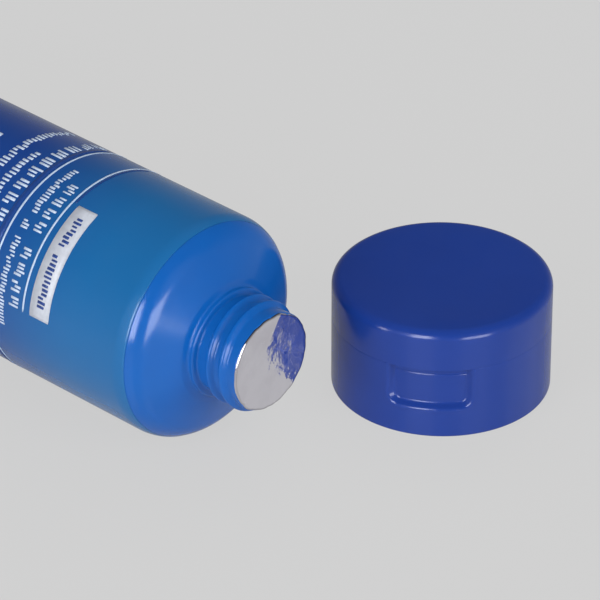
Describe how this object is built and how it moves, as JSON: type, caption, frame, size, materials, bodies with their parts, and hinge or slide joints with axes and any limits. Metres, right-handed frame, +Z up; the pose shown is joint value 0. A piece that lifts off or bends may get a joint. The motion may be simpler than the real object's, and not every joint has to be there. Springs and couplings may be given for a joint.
{
  "type": "squeeze tube with flip-top screw cap",
  "caption": "Blue plastic squeeze tube lying on its side with its foil seal still on and its flip-top screw cap standing beside it; the cap screws on and its lid flips open.",
  "frame": {"origin": "on the table, under the middle of the whole (the lying tube with the cap beside it): half way along it and half way across it", "axes": "+Z up from the table; +X along the tube's axis, out of the neck; +Y towards the cap that stands beside the tube"},
  "size_m": [0.2002, 0.104, 0.05],
  "materials": {
    "sleeve": "satin gloss polyethylene sleeve, deep blue fading to teal blue at the shoulder, pale print",
    "shoulder": "glossy moulded polyethylene, mid blue",
    "foil": "bright wrinkled foil",
    "product": "thick white cream",
    "insert": "translucent natural polyethylene",
    "cap": "glossy moulded polypropylene, royal blue"
  },
  "bodies": {
    "contents": {"product_fill": "product"},
    "tube": {"tube_sleeve": "sleeve", "shoulder_neck": "shoulder"},
    "seal": {"foil_seal": "foil"},
    "insert": {"orifice_insert": "insert"},
    "base": {"cap_base": "cap", "living_hinge": "cap"},
    "lid": {"cap_lid": "cap"}
  },
  "joints": [
    {"name": "screw_travel", "type": "slide", "parent": "contents", "child": "tube", "axis": [1, 0, 0], "range_m": [0, 0.01201]},
    {"name": "seal_lift", "type": "slide", "parent": "tube", "child": "seal", "axis": [1, 0, 0], "range_m": [0, 0.045]},
    {"name": "cap_carry", "type": "hinge", "parent": "contents", "child": "insert", "pos_m": [0.06766, -0.00249, -0.00132], "axis": [-0.6858, -0.2434, -0.6858], "range_deg": [0, 207.36]},
    {"name": "cap_turn", "type": "hinge", "parent": "insert", "child": "base", "pos_m": [0.07648, 0.0284, 0], "axis": [0, 0, -1], "range_deg": [0, 1200]},
    {"name": "lid_flip", "type": "hinge", "parent": "base", "child": "lid", "pos_m": [0.06263, 0.04781, 0.01645], "axis": [-0.8141, -0.5807, 0], "range_deg": [0, 160]}
  ],
  "couplings": [
    {"joint": "screw_travel", "follows": "cap_turn", "m_per_rad": 0.00057296}
  ]
}
